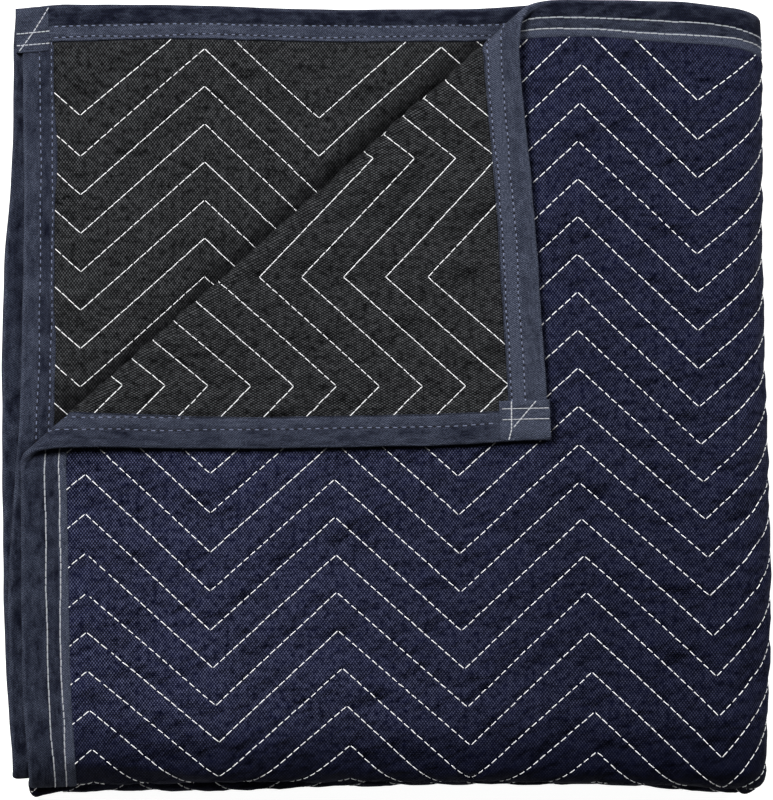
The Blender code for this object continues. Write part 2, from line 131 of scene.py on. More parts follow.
def wander(flat):
    """Bound edges take their uneven lines."""
    u, v, n = flat.T
    left = read_table(LEFT_EDGE, v) * np.clip(1 - u / 70, 0, 1)
    right = read_table(RIGHT_EDGE, v) * np.clip(1 - (LENGTH - u) / 70, 0, 1)
    top = read_table(TOP_EDGE, u) * np.clip(1 - (WIDTH - v) / 70, 0, 1)
    bottom = read_table(BOTTOM_EDGE, u) * np.clip(1 - v / 70, 0, 1)
    return np.stack((u - left + right, v + top - bottom, n), 1)


def crease_distance(flat):
    """Distance of flat points past the crease, towards the corner that is turned back."""
    return (flat - CREASE_START) @ ACROSS


def turn_corner(flat):
    past_crease = crease_distance(flat)
    lengthwise = (flat - CREASE_START) @ CREASE
    axis = HALF_LAYER + ROLL_GAP
    rise = axis - flat[:, 2]
    angle = np.clip(past_crease / ROLL_RADIUS, 0, math.pi)
    past = np.clip(past_crease - math.pi * ROLL_RADIUS, 0, None)
    settle = ease(past / 60) * (2 * ROLL_GAP - 0.4)
    across = rise * np.sin(angle) - past * 1.019
    slant = lengthwise - across * 0.307
    moved = CREASE_START + np.outer(slant, CREASE) + np.outer(across, ACROSS)
    moved[:, 2] = axis - rise * np.cos(angle) - settle
    return np.where((past_crease > 0)[:, None], moved, flat)


def fold_under(flat, direction, side, line, radius):
    past = side * (flat[:, direction] - line)
    reach = flat[:, 2] - (HALF_LAYER - radius)
    angle = np.clip(past / radius, 0, math.pi)
    moved = flat.copy()
    level = reach * np.sin(angle) - np.clip(past - math.pi * radius, 0, None)
    moved[:, direction] = line + side * level
    moved[:, 2] = HALF_LAYER - radius + reach * np.cos(angle)
    return np.where((past > 0)[:, None], moved, flat)


def settle_stack(folded):
    x = folded[:, 0] + LEFT
    y = folded[:, 1] - WIDTH + TOP
    z = folded[:, 2] - FLOOR
    upper = ease((z - 4 * LAYER + 8) / 16)
    right = THIRD_FOLD + THIRD_RADIUS + LEFT
    low = SECOND_FOLD - SECOND_RADIUS - WIDTH + TOP
    side_share = np.clip(1 - (right - x) / 140, 0, 1)
    low_share = np.clip(1 - (y - low) / 140, 0, 1)
    down = read_table(LOWER_FOLD, x) * (1 - upper) + read_table(UPPER_FOLD, x) * upper
    past_crease = np.clip(read_table(LOW_CREASE, x, 2) - y, 0, 15)
    z = z - past_crease * read_table(LOW_SLOPE, x, 4) * np.clip(z / 50, 0, 1) ** 2
    loft = 1 + read_table(LOFT_ACROSS, x, 30) + read_table(LOFT_DOWN, y, 6)
    return np.stack((x + read_table(RIGHT_FOLD, y) * side_share + SHIFT[0],
                     y - down * low_share + SHIFT[1], z * loft), 1)


def fold(flat):
    """Flat points in millimetres to folded points in metres."""
    points = turn_corner(wander(flat))
    points = fold_under(points, 0, 1, FIRST_FOLD, FIRST_RADIUS)
    points = fold_under(points, 1, -1, SECOND_FOLD, SECOND_RADIUS)
    points = fold_under(points, 0, 1, THIRD_FOLD, THIRD_RADIUS)
    return settle_stack(points) * MM


print("folds at", round(FIRST_FOLD), "mm,", round(SECOND_FOLD), "mm and", THIRD_FOLD, "mm")


# %% [markdown]
# A tight bend needs a row of points at every few degrees. Rather than crowd the whole cloth
# with points, each mesh is cut along the lines where the bends begin, turn and end.

# %% Lines across the flat cloth where it bends
def bend_lines():
    mirrored = LENGTH - THIRD_FOLD - THIRD_ARC
    arcs = [((1, 0, 0), THIRD_FOLD, THIRD_ARC, 14), ((1, 0, 0), mirrored, THIRD_ARC, 14),
            ((1, 0, 0), FIRST_FOLD, math.pi * FIRST_RADIUS, 10),
            ((0, 1, 0), SECOND_FOLD - math.pi * SECOND_RADIUS, math.pi * SECOND_RADIUS, 12),
            (ACROSS, CREASE_START @ ACROSS, math.pi * ROLL_RADIUS, 10),
            (ACROSS, CREASE_START @ ACROSS + math.pi * ROLL_RADIUS, 60, 8)]
    return [(Vector(axis), start + arc * i / steps)
            for axis, start, arc, steps in arcs for i in range(steps + 1)]


def cut_at_bends(grid):
    for axis, place in bend_lines():
        sides = {vert: vert.co.dot(axis) > place for vert in grid.verts}
        crossed = [face for face in grid.faces if len({sides[v] for v in face.verts}) > 1]
        edges = {edge for face in crossed for edge in face.edges}
        verts = {vert for face in crossed for vert in face.verts}
        bmesh.ops.bisect_plane(grid, geom=[*verts, *edges, *crossed], dist=1e-4,
                               plane_co=axis * place, plane_no=axis)


print(len(bend_lines()), "lines cross the flat cloth where a bend starts or ends")


# %% [markdown]
# ## The zigzag
# Quilting of this kind is sewn in parallel rows of zigzags. A short table holds each turn: its
# place along the length, how far the first row lies below the top edge there, and how far the
# turn drifts further down. A grid sheared to follow the rows then needs few points lengthwise.

# %% Turns of the zigzag on each side
# Each turn lists, for some of its rows, the row's number, its place along the length and how
# far it lies below the top edge.
def even(place, down, drift=0.0):
    """A turn whose rows are evenly spaced."""
    return [(0, place, down), (13, place, down + 13 * ROW), (20, place + drift, down + 20 * ROW)]


NAVY_TURNS = [
    even(-37, 76), [(0, 37.2, 9.0), (12, 37.4, 282.8), (15, 37.7, 354), (17, 38.4, 400.3),
                    (19, 40, 447)],
    [(0, 111.7, 78.8), (9, 111.7, 282.5), (13, 111.7, 376.8), (15, 114.9, 422.1),
     (16, 116.9, 444.2)],
    [(0, 186, 13.2), (12, 186.2, 285.9), (15, 187.6, 353.8), (16, 188.4, 377),
     (18, 193.8, 422.4), (19, 195.9, 446.2)],
    [(0, 262, 80.8), (9, 260.4, 284), (13, 262.5, 377.2), (16, 268, 446.6)],
    [(1, 334.8, 37.5), (3, 332.8, 82.7), (7, 332.2, 173.4), (12, 332.8, 287.7),
     (15, 336.6, 353.8), (18, 342, 425.4), (19, 343.4, 449)],
    [(-1, 405.3, 58.5), (0, 405.2, 82), (7, 404.2, 242.4), (10, 406.7, 310),
     (12, 408.4, 355.4), (15, 415.6, 426), (16, 417.8, 450.2)],
    [(0, 477, 24.6), (3, 477, 92.5), (7, 477, 179.5), (12, 477, 286.6), (13, 477, 309.3),
     (20, 489, 467.6)]]
NAVY_TURNS += [even(550.2 + 73.2 * i, 15.2 if i % 2 else 81.8, 12) for i in range(7)]
NAVY_TURNS += [even(LENGTH + 40, 81.8)]
BLACK_TURNS = [
    [(0, -34, 58), (10, -32, 272)], [(0, 38.3, -2.9), (10, 44.9, 215)],
    [(0, 115, 56.4), (4, 117.8, 142.2)], [(0, 196.2, -5), (2, 196.8, 38.2), (4, 198.2, 80.9)],
    [(0, 272, 58)], [(0, 347, -4)],
    [(0, LENGTH - 323, 68), (1, LENGTH - 323, 91.5)],
    [(0, LENGTH - 250.3, 0.8), (1, LENGTH - 250.3, 24)],
    [(0, LENGTH - 176.9, 69.0), (1, LENGTH - 176.9, 92)],
    [(1, LENGTH - 108.3, 26.4), (3, LENGTH - 108.3, 72.4), (7, LENGTH - 108.3, 164)],
    [(0, LENGTH - 33.8, 67.2), (1, LENGTH - 33.8, 92), (7, LENGTH - 34.6, 230.4)],
    [(0, LENGTH + 40, 2), (7, LENGTH + 40, 165)]]
ROW_SHARES = (0, 0.03, 0.075, 0.15, 0.26, 0.38, 0.5, 0.62, 0.74, 0.85, 0.925, 0.97)


def turn_place(turn, row):
    """Flat place of one row at one turn."""
    rows, places, downs = (np.array(part, float) for part in zip(*turn))
    beyond = np.minimum(row - rows[0], 0) + np.maximum(row - rows[-1], 0)
    return np.interp(row, rows, places), WIDTH - np.interp(row, rows, downs) - beyond * ROW


def on_row(turns, column, row):
    """Flat place of a row at a column, which may lie between two turns."""
    low = min(int(column), len(turns) - 2)
    share = column - low
    start, end = turn_place(turns[low], row), turn_place(turns[low + 1], row)
    return start[0] + (end[0] - start[0]) * share, start[1] + (end[1] - start[1]) * share


def pillow(row, first):
    """Height of the padding, full between two sewn rows and drawn in at each of them."""
    away = np.abs(row - np.maximum(np.round(row), first))
    return GROOVE + (CREST - GROOVE) * (1 - (1 - np.minimum(2 * away, 1)) ** 3)


print("turns of the zigzag: face", len(NAVY_TURNS), "backing", len(BLACK_TURNS))


# %% [markdown]
# ## Small unevenness
# Quilted padding is never smooth: the stitches gather it into short puckers, and handling
# leaves broad soft dents. Layered noise on the flat cloth gives both, and the same seed of
# noise every time.

# %% Puckers and dents
def rumple(u, v, seed):
    """Offset of the quilted surface in millimetres at flat places."""
    found = np.empty(len(u))
    for i, (a, b) in enumerate(zip(u, v)):
        broad = noise.noise(Vector((a / 60, b / 50, seed)))
        pucker = noise.noise(Vector((a / 17, b / 10, seed + 9)))
        fine = noise.noise(Vector((a / 6, b / 4.5, seed + 17)))
        found[i] = 0.85 * broad + 1.05 * pucker + 0.35 * fine
    return found


# %% Gathers along a seam
def gathers(column, row, seed):
    """Short wrinkles that run across the sewn rows, deepest beside the stitches."""
    found = np.empty(len(column))
    for i, (a, b) in enumerate(zip(column, row)):
        nearness = 1 - 2 * abs(b - round(b))
        found[i] = noise.noise(Vector((a * 99 / 7.5, b * 1.1, seed))) * (0.35 + 0.65 * nearness)
    return 0.42 * found


# %% [markdown]
# Handling also leaves a few longer creases. Each is a soft trough with a low ridge beside it,
# given by its middle, its direction, and its length, width and depth.

# %% Creases
NAVY_CREASES = [
    (62, 562, 30, 62, 4.5, 0.9), (74, 578, 34, 46, 3.6, 0.7), (48, 600, 42, 40, 4.0, 0.7),
    (40, 617, 40, 30, 3.4, 0.6), (90, 600, 28, 50, 5.0, 0.5), (52, 542, 30, 40, 3.6, 0.7),
    (368, 683, 4, 60, 4.6, 0.9), (372, 640, 12, 34, 4.0, 0.7), (404, 698, 2, 24, 3.2, 0.6),
    (330, 655, 8, 40, 4.4, 0.4), (420, 668, -6, 26, 2.8, 0.7), (428, 652, 8, 26, 2.8, 0.6),
    (424, 640, -3, 22, 2.4, 0.7), (430, 625, 6, 26, 2.6, 0.7), (426, 610, -8, 24, 2.6, 0.6),
    (432, 594, 4, 24, 2.6, 0.6), (430, 575, -5, 24, 3.0, 0.5), (434, 548, 5, 26, 3.0, 0.5),
    (428, 716, 5, 24, 2.8, 0.5), (430, 738, -4, 24, 3.0, 0.4), (418, 530, 9, 30, 3.4, 0.5),
    (60, 510, 14, 60, 4.0, 0.6), (96, 500, 8, 60, 4.0, 0.5), (172, 655, 60, 30, 3.8, 0.4),
    (228, 640, 20, 36, 4.2, 0.4), (356, 503, 16, 40, 4.2, 0.5), (300, 548, 24, 44, 4.6, 0.4),
    (330, 905, 20, 34, 4.0, 0.4), (385, 882, 8, 40, 4.4, 0.4), (360, 800, -4, 44, 5.0, 0.4),
    (140, 560, 35, 40, 4.6, 0.4), (218, 530, 26, 46, 5.0, 0.4), (262, 600, 12, 40, 4.6, 0.35),
]
BLACK_CREASES = [
    (LENGTH - 34, 905, -72, 34, 3.6, 0.8), (LENGTH - 44, 903, -66, 32, 3.6, 0.7),
    (LENGTH - 56, 912, -60, 26, 3.8, 0.6), (LENGTH - 28, 884, -64, 30, 3.4, 0.6),
    (LENGTH - 74, 900, -58, 30, 4.2, 0.4), (LENGTH - 92, 912, -80, 20, 3.6, 0.4),
    (LENGTH - 30, 724, -38, 34, 3.6, 0.7), (LENGTH - 42, 736, -44, 30, 3.4, 0.5),
    (LENGTH - 70, 745, -46, 34, 3.8, 0.5), (LENGTH - 30, 800, -30, 30, 4.2, 0.4),
    (LENGTH - 130, 900, -50, 40, 5.0, 0.35), (LENGTH - 200, 890, -30, 44, 5.0, 0.3),
    (60, 800, 15, 40, 4.0, 0.45), (62, 770, 12, 36, 4.0, 0.45), (96, 868, 20, 44, 5.0, 0.35),
    (150, 880, 30, 44, 5.0, 0.35), (40, 840, 8, 40, 4.2, 0.4), (30, 715, 25, 26, 3.0, 0.6),
    (210, 905, 14, 34, 4.0, 0.35), (100, 905, 60, 40, 5.0, 0.3),
]


def crease_depth(u, v, creases):
    found = np.zeros(len(u))
    for middle_u, middle_v, direction, length, width, depth in creases:
        turn = math.radians(direction)
        lengthwise = (u - middle_u) * math.cos(turn) + (v - middle_v) * math.sin(turn)
        sideways = (v - middle_v) * math.cos(turn) - (u - middle_u) * math.sin(turn)
        sideways = sideways + 1.2 * np.sin(lengthwise / 9 + middle_u)
        fade = np.exp(-(lengthwise / length * 1.8) ** 2)
        trough = np.exp(-(sideways / width) ** 2)
        ridge = np.exp(-((sideways - 1.9 * width) / (1.3 * width)) ** 2)
        found += depth * fade * (0.55 * ridge - trough)
    return found


print("soft creases: face", len(NAVY_CREASES), "backing", len(BLACK_CREASES))


# %% [markdown]
# ## Cloths
# Each cloth is a grid whose rows follow the zigzag. It is trimmed to the cut size, thinned
# where the binding holds it, then folded. The flat place of every point is kept as a UV map in
# metres, so the weave lies along the threads however the cloth is folded.

# %% Tape widths on each edge: rows of stitches, width on the navy side, width on the black side
TAPES = {
    "left": (13.0, 21.5, 26.5, 23.5),
    "top": (10.6, 17.4, 22.4, 19.6),
    "right": (10.0, 17.0, 22.0, 19.8),
    "bottom": (10.5, 17.4, 22.4, 20.0),
}


SLIDES = {
    "left": ((0, 3.0), (485, 3.0), (497, 2.8), (524, 2.5), (560, 2.0), (584, 1.7), (644, 1.3),
             (683, 0.2), (700, 0), (WIDTH, 0)),
    "top": ((0, 0), (335, -0.6), (352, -0.3), (372, 0.9), (390, 1.5), (418, 1.6), (430, 1.9),
            (445, 3.4), (460, 4.6), (480, 3), (510, 0), (1660, 0), (1693, -0.2), (1749, 0.7),
            (1778, 1.8), (1810, 2.6), (LENGTH, 2.7)),
}
SLIDE_SHARES = {"left": ((0, 13, 21.5, 26.5), (0, 1, 0.75, 1.36)),
                "top": ((0, 8, 17.4, 22.4), (0, 1, 1, 1.35))}


def slide(edge, at, inwards):
    """How far a tape has slipped inwards at a place, growing away from the edge."""
    if edge not in SLIDES:
        return inwards * 0.0
    return np.interp(at, *zip(*SLIDES[edge])) * np.interp(inwards, *SLIDE_SHARES[edge])


def padding_share(u, v, side):
    """0 under the binding and 1 where the padding stands free."""
    nearest = np.full(len(u), 9.0)
    distances = {"left": u - slide("left", v, np.full(len(u), 26.5)), "right": LENGTH - u,
                 "bottom": v, "top": WIDTH - v - slide("top", u, np.full(len(u), 21.0))}
    for edge, distance in distances.items():
        width = TAPES[edge][2 if side > 0 else 3]
        nearest = np.minimum(nearest, (distance - width + 0.8) / 4.5)
    return np.clip(nearest, 0, 1) ** 0.6


print("tape on the face and on the backing, mm:", {edge: TAPES[edge][2:] for edge in TAPES})


# %% Meshes from arrays
def mesh_object(name, points, faces, flat=None):
    data = bpy.data.meshes.new(name)
    data.from_pydata([tuple(p) for p in points], [], [tuple(f) for f in faces])
    if flat is not None:
        layer = data.uv_layers.new(name="flat")
        corners = np.empty(len(data.loops), np.int32)
        data.loops.foreach_get("vertex_index", corners)
        layer.data.foreach_set("uv", (flat[corners, :2] * MM).ravel())
    data.shade_smooth()
    piece = bpy.data.objects.new(name, data)
    bpy.context.scene.collection.objects.link(piece)
    return piece


# %% One cloth
def cloth_grid(turns, columns, first, last):
    """A grid with its rows along the zigzag, trimmed to the cut size of the cloth."""
    rows = [row + share for row in range(-5, last) for share in ROW_SHARES]
    while rows[-1] < WIDTH / ROW + 4:
        rows.append(rows[-1] + 0.8)
    rows = np.array(rows)
    grid = bmesh.new()
    column_layer = grid.verts.layers.float.new("column")
    row_layer = grid.verts.layers.float.new("row")
    heights = np.where(rows < last, pillow(rows, first), CREST)
    lines = []
    for column in columns:
        u, v = on_row(turns, column, rows)
        line = [grid.verts.new(place) for place in zip(u, v, heights)]
        for vert, row in zip(line, rows):
            vert[column_layer], vert[row_layer] = column, row
        lines.append(line)
    for left, right in zip(lines, lines[1:]):
        for i in range(len(rows) - 1):
            grid.faces.new((left[i], left[i + 1], right[i + 1], right[i]))
    for axis, size in ((Vector((1, 0, 0)), LENGTH), (Vector((0, 1, 0)), WIDTH)):
        for place, outward in ((1.7, -axis), (size - 1.7, axis)):
            whole = grid.verts[:] + grid.edges[:] + grid.faces[:]
            bmesh.ops.bisect_plane(grid, geom=whole, dist=1e-4, plane_co=axis * place,
                                   plane_no=outward, clear_outer=True)
    cut_at_bends(grid)
    return grid, column_layer, row_layer


def cloth_height(u, v, column, row, relief, side, seed):
    """Height of a cloth's outer surface, from the relief of its quilting."""
    share = padding_share(u, v, side)
    fullness = (relief - GROOVE) / (CREST - GROOVE)
    creases = NAVY_CREASES if side > 0 else BLACK_CREASES
    bumps = rumple(u, v, seed) * (0.3 + 0.7 * fullness) + gathers(column, row, seed + 50)
    free = (u < 480) & (v > 440) & ((u > 320) | (v < 670))
    most = np.where(free, 1.0, 0.3) if side > 0 else 0.6
    bumps = np.clip(bumps + 3.0 * crease_depth(u, v, creases), -2.0, most)
    return np.maximum(HEM + (relief + bumps - HEM) * share, 0.45)


def build_cloth(name, node, side, turns, columns, first, last, seed):
    grid, column_layer, row_layer = cloth_grid(turns, columns, first, last)
    grid.verts.index_update()
    flat = np.array([vert.co for vert in grid.verts])
    column = np.array([vert[column_layer] for vert in grid.verts])
    row = np.array([vert[row_layer] for vert in grid.verts])
    faces = [[vert.index for vert in face.verts] for face in grid.faces]
    grid.free()
    height = cloth_height(flat[:, 0], flat[:, 1], column, row, flat[:, 2], side, seed)
    points = fold(np.stack((flat[:, 0], flat[:, 1], side * height), 1))
    if side > 0:
        faces = [face[::-1] for face in faces]
    piece = mesh_object(name, points, faces, flat)
    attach(piece, "root")
    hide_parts(node)
    print(name, "has", len(faces), "faces")
    return piece


# %% Both cloths
def spread(steps):
    """Columns between turns, with the given number of steps in each stretch."""
    places = [i + np.arange(count) / count for i, count in enumerate(steps)]
    return np.concatenate(places + [[len(steps)]])


navy = build_cloth("navy_face", "face_cloth", 1, NAVY_TURNS,
                   spread([20] * 7 + [8] * 7 + [24]), -1, 23, 3.0)
black = build_cloth("black_backing", "backing_cloth", -1, BLACK_TURNS,
                    spread([24] * 5 + [40] + [20] * 5), 0, 14, 41.0)
print("faces in the two cloths:", len(navy.data.polygons) + len(black.data.polygons))

# %% [markdown]
# ## Binding tapes
# Each tape is a long strip folded over the raw edges. Its cross-section starts at the cloth on
# the navy side, rises over the tape's own thickness, dips at the two rows of stitches, rolls
# round the edge and comes back along the black side. Carrying that section along the edge
# makes the whole tape.

# %% Cross-section of a folded tape
def tape_section(row_near, row_far, navy_width, black_width, lift=0.0):
    """Pairs of distance from the edge and height, from the navy side round to the black."""
    def one_side(width):
        top = CREST + lift
        half = [(width + 0.1, HEM), (width - 0.1, 1.8), (width - 0.7, top - 0.1)]
        for row in (row_far, row_near):
            half += [(row + 1.9, top), (row + 0.8, top - 0.25), (row, top - 0.6),
                     (row - 0.8, top - 0.25), (row - 1.9, top)]
        return half + [(6.2, top + 0.02), (4.0, top + 0.05), (2.2, top), (0.9, top - 0.35),
                       (0.2, top - 1.0)]
    navy_half = one_side(navy_width)
    black_half = [(d, -n) for d, n in one_side(black_width)]
    return navy_half + [(-0.1 - lift / 3, 0.6), (-0.1 - lift / 3, -0.6)] + black_half[::-1]


# %% [markdown]
# The brushed tape is lighter where it lies smooth between its stitches and darker where its
# nap is rubbed, so each tape keeps a shade for its outer, middle and inner band on each side.
# A painted highlight lies along the outer rim of every tape, and painted shade darkens the
# black side of the right tape along its first 690 mm.

# %% Bands of each tape
EDGES = {
    "left": ((0, WIDTH), (0, -1), (1, 0), WIDTH),
    "bottom": ((0, 0), (1, 0), (0, 1), LENGTH),
    "right": ((LENGTH, 0), (0, 1), (-1, 0), WIDTH),
    "top": ((LENGTH, WIDTH), (-1, 0), (0, -1), LENGTH),
}
BANDS = {
    ("left", 1): (0.3, 0.34, 0.95), ("left", -1): (0.5, 0.72, 0.8),
    ("top", 1): (0.1, 0.4, 1.05), ("top", -1): (0.12, 0.78, 0.95),
    ("top", "corner"): (0.72, 1.1, 0.9),
    ("right", 1): (0.3, 0.4, 0.6), ("right", -1): (0.55, 0.36, 0.6),
    ("bottom", 1): (0.3, 0.4, 0.6), ("bottom", -1): (0.3, 0.4, 0.6),
}
INNER_WIDTHS = {
    ("right", -1): ((0, 0), (660, 0), (713, -0.2), (751, -0.2), (767, -2.4), (829, -2.4),
                    (840, -1.0), (851, 0.6), (866, 0.6), (894, -2.7), (WIDTH, -2.7)),
    ("left", 1): ((0, -0.5), (WIDTH, -0.5)),
    ("left", -1): ((0, -1.6), (130, -1.6), (170, -1.0), (209, 0.6), (239, 1.5), (270, 2.8),
                   (290, 2.0), (310, 0), (WIDTH, 0)),
    ("top", -1): ((0, 0.4), (100, 0.6), (130, 2.2), (290, 2.4), (330, 0), (LENGTH, 0)),
}


def on_edge(edge, distance, inwards):
    """Flat places from the distance along an edge and the distance in from it."""
    corner, ahead, inward, _ = EDGES[edge]
    return (corner[0] + ahead[0] * distance + inward[0] * inwards,
            corner[1] + ahead[1] * distance + inward[1] * inwards)


def band_shade(edge, place, inwards, side):
    """Shade of the tape at a place: 0 for dark navy to 1 for light slate, with painted shade on one
    tape and a painted highlight along every rim.
    """
    key = (edge, side)
    if edge == "top" and side < 0 and place > LENGTH - 420:
        key = ("top", "corner")
    outer, middle, inner = BANDS[key]
    near, far = TAPES[edge][:2]
    shade = outer if inwards < near else middle if inwards < far else inner
    # Painted shade: the black side of the right tape is darker along its first 690 mm.
    if edge == "right" and side < 0 and place < 690:
        shade = 0.25
    # Painted highlight along the outermost 1.5 mm of every tape.
    return shade + (0.35 if inwards < 1.5 else 0.0)


print(len(BANDS), "bands of tape have a shade of their own")


# %% One tape along an edge
def strip(grid, edge, stations, section, seed, shades):
    """A section carried along an edge, closed at its first end."""
    lines = []
    for place in stations:
        line = []
        for i, (inwards, height) in enumerate(section):
            side = 1 if i < len(section) / 2 else -1
            wave = 0.4 * noise.noise(Vector((place / 23, seed, inwards / 30)))
            if (edge, side) in INNER_WIDTHS and shades is None:
                pull = np.interp(place, *zip(*INNER_WIDTHS[edge, side]))
                wave += pull * max(0.0, (inwards - 12) / 10) ** 2
            pucker = 0.26 * noise.noise(Vector((place / 5.0, inwards / 5, seed + side)))
            pucker += 0.2 * noise.noise(Vector((place / 24, inwards / 9, seed + side + 4)))
            slipped = float(slide(edge, EDGES[edge][3] - place, np.array(max(inwards, 0.0))))
            u, v = on_edge(edge, place, inwards + wave + slipped)
            vert = grid.verts.new((u, v, height + pucker * side * min(1, abs(height))))
            vert[grid.verts.layers.float["shade"]] = (
                band_shade(edge, place, inwards, side) if shades is None else shades)
            line.append(vert)
        lines.append(line)
    for left, right in zip(lines, lines[1:]):
        for i in range(len(section) - 1):
            grid.faces.new((left[i], left[i + 1], right[i + 1], right[i]))
    first, wide = lines[0], len(section)
    for i in range(wide // 2 - 1):
        grid.faces.new((first[i], first[wide - 1 - i], first[wide - 2 - i], first[i + 1]))


LAPS = {"top": (-4.2, 16.8, 24.2, 0.72), "left": (-1.2, 25.8, 28.2, 0.92)}


def build_tape(edge, seed):
    grid = bmesh.new()
    shade_layer = grid.verts.layers.float.new("shade")
    stations = np.arange(0, EDGES[edge][3] - 23.8, 3.0)
    strip(grid, edge, stations, tape_section(*TAPES[edge]), seed, None)
    if edge in LAPS:
        start, end, wide, shade = LAPS[edge]
        section = tape_section(14.5, 22.4, wide, wide, 0.5)
        strip(grid, edge, np.arange(start, end, 1.5), section, seed + 5, shade)
    cut_at_bends(grid)
    bmesh.ops.recalc_face_normals(grid, faces=grid.faces[:])
    grid.verts.index_update()
    flat = np.array([vert.co for vert in grid.verts])
    along = flat if edge in ("top", "bottom") else flat[:, [1, 0, 2]]
    shades = np.array([vert[shade_layer] for vert in grid.verts])
    faces = [[vert.index for vert in face.verts] for face in grid.faces]
    grid.free()
    piece = mesh_object("binding_tape_" + edge, fold(flat), faces, along)
    piece.data.attributes.new("shade", "FLOAT", "POINT").data.foreach_set("value", shades)
    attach(piece, "root")
    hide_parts("binding_" + edge)
    print(piece.name, "has", len(faces), "faces")
    return piece


tapes = [build_tape(edge, 7.0 * i) for i, edge in enumerate(EDGES)]

# %% [markdown]
# ## Sewing
# Every stitch is a short length of thread that comes up through the cloth and goes down again.
# A stitch is a small tube of four rings, and thousands of them make one mesh. Each is drawn
# flat, on the line that was sewn, and goes through the same folds as the cloth.

# %% Tubes of thread
RING_SHARES = np.array((0.0, 0.18, 0.82, 1.0))
RING_LIFTS = np.array((-0.35, 0.12, 0.12, -0.35))
RING_SIZES = np.array((0.75, 1.0, 1.0, 0.75))


def thread_mesh(name, starts, ends, heights, side, radius):
    """Tubes between flat starts and ends, each at its own height."""
    starts, ends = np.array(starts), np.array(ends)
    span = ends - starts
    ahead = span / np.linalg.norm(span, axis=1)[:, None]
    sideways = np.stack((-ahead[:, 1], ahead[:, 0]), 1)
    count = len(starts)
    points = np.empty((count, 4, 4, 3))
    for ring in range(4):
        middle = starts + span * RING_SHARES[ring]
        for corner in range(4):
            turn = math.pi / 2 * corner
            reach = radius * RING_SIZES[ring]
            points[:, ring, corner, :2] = middle + sideways * math.cos(turn) * reach
            lift = RING_LIFTS[ring] + reach * math.sin(turn)
            points[:, ring, corner, 2] = side * (np.array(heights) + lift)
    base = np.arange(count)[:, None] * 16
    faces = []
    for ring in range(3):
        for corner in range(4):
            a, b = ring * 4 + corner, ring * 4 + (corner + 1) % 4
            faces.append(base + np.array([a, b, b + 4, a + 4])[None, :])
    faces = np.concatenate(faces)
    return mesh_object(name, fold(points.reshape(-1, 3)), faces.tolist())


print("each stitch is a tube of", len(RING_SHARES), "rings")


# %% Where stitches can be seen
def navy_shows(u, v):
    past = crease_distance(np.stack((u, v, np.zeros(len(u))), 1))
    return (u < 925) & (v > WIDTH / 2 - 40) & (past < 12)


def black_shows(u, v):
    flat = np.stack((u, v, np.zeros(len(u))), 1)
    mirrored = flat.copy()
    mirrored[:, 0] = LENGTH - u
    return (crease_distance(flat) > 7) | (crease_distance(mirrored) > -12)


# %% Quilting stitches
def quilting(name, node, turns, side, first, last, period, share, seed, shows, radius):
    starts, ends, columns, rows = [], [], [], []
    for row in range(first, last + 1):
        for column in range(len(turns) - 1):
            a = np.array(on_row(turns, column, row))
            b = np.array(on_row(turns, column + 1, row))
            count = max(1, round(np.linalg.norm(b - a) / period))
            at = (np.arange(count) + 0.5) / count
            tension = share + 0.16 * noise.noise(Vector((row * 1.7, column * 1.3, seed)))
            half = tension / 2 / count
            starts.append(a + np.outer(at - half, b - a))
            ends.append(a + np.outer(at + half, b - a))
            columns.append(column + at)
            rows.append(np.full(count, float(row)))
    starts, ends = np.concatenate(starts), np.concatenate(ends)
    columns, rows = np.concatenate(columns), np.concatenate(rows)
    u, v = ((starts + ends) / 2).T
    inside = (u > 3) & (u < LENGTH - 3) & (v > 3) & (v < WIDTH - 3)
    clear = np.maximum(padding_share(*starts.T, side), padding_share(*ends.T, side)) > 0.05
    keep = inside & clear & shows(u, v)
    starts, ends, columns, rows, u, v = (x[keep] for x in (starts, ends, columns, rows, u, v))
    shake = np.array([(noise.noise(Vector((a * 3.1, b * 3.1, 5))),
                       noise.noise(Vector((a * 3.1, b * 3.1, 8)))) for a, b in zip(u, v)])
    starts, ends = starts + shake * 0.35, ends - shake[:, ::-1] * 0.35
    relief = np.full(len(u), GROOVE)
    heights = cloth_height(u, v, columns, rows, relief, side, seed) + 0.22
    piece = thread_mesh(name, starts, ends, heights, side, radius)
    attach(piece, "root")
    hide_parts(node)
    print(name, "has", len(u), "stitches")
    return piece


navy_quilting = quilting("navy_quilting_stitches", "face_cloth", NAVY_TURNS, 1, -1, 24,
                         5.4, 0.8, 3.0, navy_shows, 0.3)
black_quilting = quilting("black_quilting_stitches", "backing_cloth", BLACK_TURNS, -1, 0, 13,
                          5.2, 0.95, 41.0, black_shows, 0.27)


# %% [markdown]
# Each binding is sewn with two rows. On the navy side the thread lies almost unbroken. On the
# black side it dips between short stitches, and dark tubes between them are painted shade in
# the needle holes.

# %% Binding stitches
def binding_rows(name, side, shows, period, share, shift, lift, radius):
    starts, ends = [], []
    for edge in EDGES:
        begin = LAPS[edge][1] + 2 if edge in LAPS else 3.0
        for row in TAPES[edge][:2]:
            at = np.arange(begin, EDGES[edge][3] - 20, period) + shift * period
            sway = [0.9 * noise.noise(Vector((a / 30, row, side))) for a in at]
            sway = np.array(sway) + 0.25 * np.array(
                [noise.noise(Vector((a / 4, row, side + 5))) for a in at])
            sway = row + sway + slide(edge, EDGES[edge][3] - at, np.full(len(at), row))
            starts.append(np.stack(on_edge(edge, at, sway), 1))
            ends.append(np.stack(on_edge(edge, at + period * share, sway), 1))
    starts, ends = np.concatenate(starts), np.concatenate(ends)
    u, v = ((starts + ends) / 2).T
    # On the backing, the inner row doesn't show near the end of the left tape.
    covered = (side < 0) & (u > 17) & (u < 28) & (v > WIDTH - 182)
    keep = shows(u, v) & ~covered
    heights = np.full(keep.sum(), CREST - 0.6 + lift)
    piece = thread_mesh(name, starts[keep], ends[keep], heights, side, radius)
    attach(piece, "root")
    print(name, "has", keep.sum(), "stitches")
    return piece


